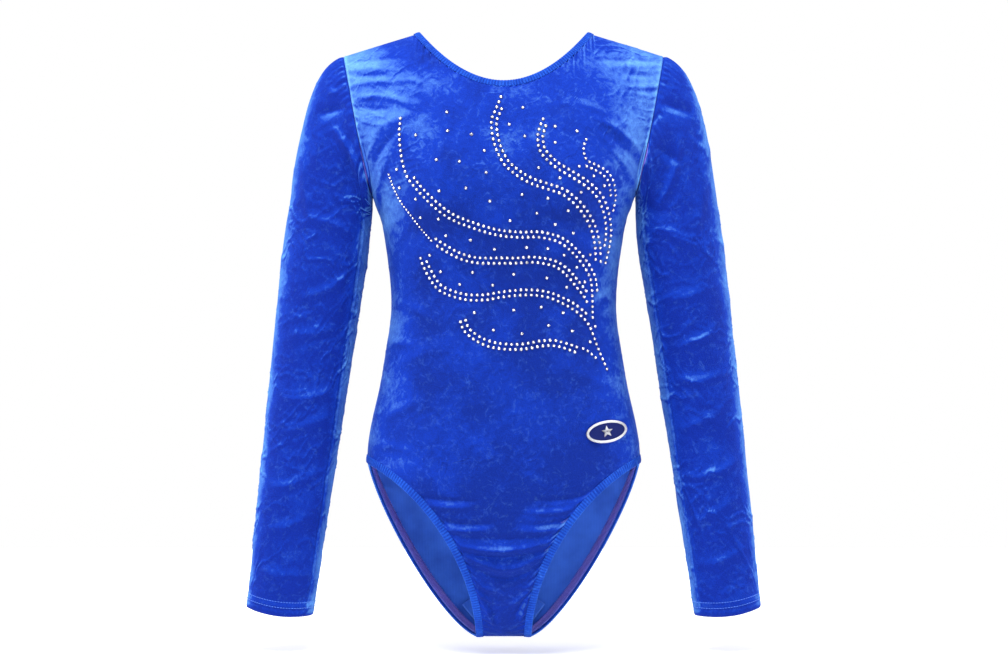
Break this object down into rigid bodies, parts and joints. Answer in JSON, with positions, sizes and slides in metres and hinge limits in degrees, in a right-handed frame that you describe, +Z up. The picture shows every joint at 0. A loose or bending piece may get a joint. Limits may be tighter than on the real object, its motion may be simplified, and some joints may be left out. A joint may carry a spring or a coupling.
{
  "type": "gymnastics leotard",
  "caption": "Long-sleeved scoop-neck gymnastics leotard in blue crushed stretch velvet with high-cut legs, a swirling crystal motif and a small hip patch.",
  "frame": {"origin": "midway between the two points where the shoulder seams meet the neckline, at the height where the garment rests on the wearer's shoulders", "axes": "+Z up, -Y towards the front of the garment, +X towards the wearer's left"},
  "size_m": [0.5826, 0.2301, 0.6856],
  "materials": {
    "velvet": "crushed stretch velvet",
    "edge_band": "flattened velvet, topstitched",
    "elastic": "woven elastic",
    "overlock_thread": "looped thread",
    "clear_tape": "clear elastic tape",
    "lining": "smooth knit",
    "label": "satin ribbon",
    "hem_stitch": "thread",
    "crystal": "foil-backed, faceted",
    "patch_twill": "twill",
    "silver_thread": "satin stitch"
  },
  "bodies": {
    "torso": {"front_panel": "velvet", "back_panel": "velvet", "neck_band": "edge_band", "left_leg_band": "edge_band", "right_leg_band": "edge_band", "neck_elastic": "elastic", "left_leg_elastic": "elastic", "right_leg_elastic": "elastic", "neck_overlock": "overlock_thread", "left_leg_overlock": "overlock_thread", "right_leg_overlock": "overlock_thread", "left_side_seam": "overlock_thread", "right_side_seam": "overlock_thread", "left_shoulder_seam": "overlock_thread", "right_shoulder_seam": "overlock_thread", "crotch_seam": "overlock_thread", "left_shoulder_tape": "clear_tape", "right_shoulder_tape": "clear_tape", "gusset_lining": "lining", "care_label": "label", "crystals_outer_loop": "crystal", "crystals_neck_loop": "crystal", "crystals_bust_loop": "crystal", "crystals_side_loop": "crystal", "crystals_lower_loop": "crystal", "crystals_waist_loop": "crystal", "crystals_base_loop": "crystal", "hip_patch_base": "patch_twill", "hip_patch_border": "silver_thread", "hip_patch_star": "silver_thread"},
    "left_arm": {"left_sleeve": "velvet", "left_armhole_seam": "overlock_thread", "left_underarm_seam": "overlock_thread", "left_cuff_stitch": "hem_stitch"},
    "right_arm": {"right_sleeve": "velvet", "right_armhole_seam": "overlock_thread", "right_underarm_seam": "overlock_thread", "right_cuff_stitch": "hem_stitch"}
  },
  "joints": [
    {"name": "left_sleeve_swing", "type": "hinge", "parent": "torso", "child": "left_arm", "pos_m": [0.19, 0, -0.06], "axis": [0, -1, 0], "range_deg": [0, 85]},
    {"name": "right_sleeve_swing", "type": "hinge", "parent": "torso", "child": "right_arm", "pos_m": [-0.19, 0, -0.06], "axis": [0, 1, 0], "range_deg": [0, 85]}
  ]
}
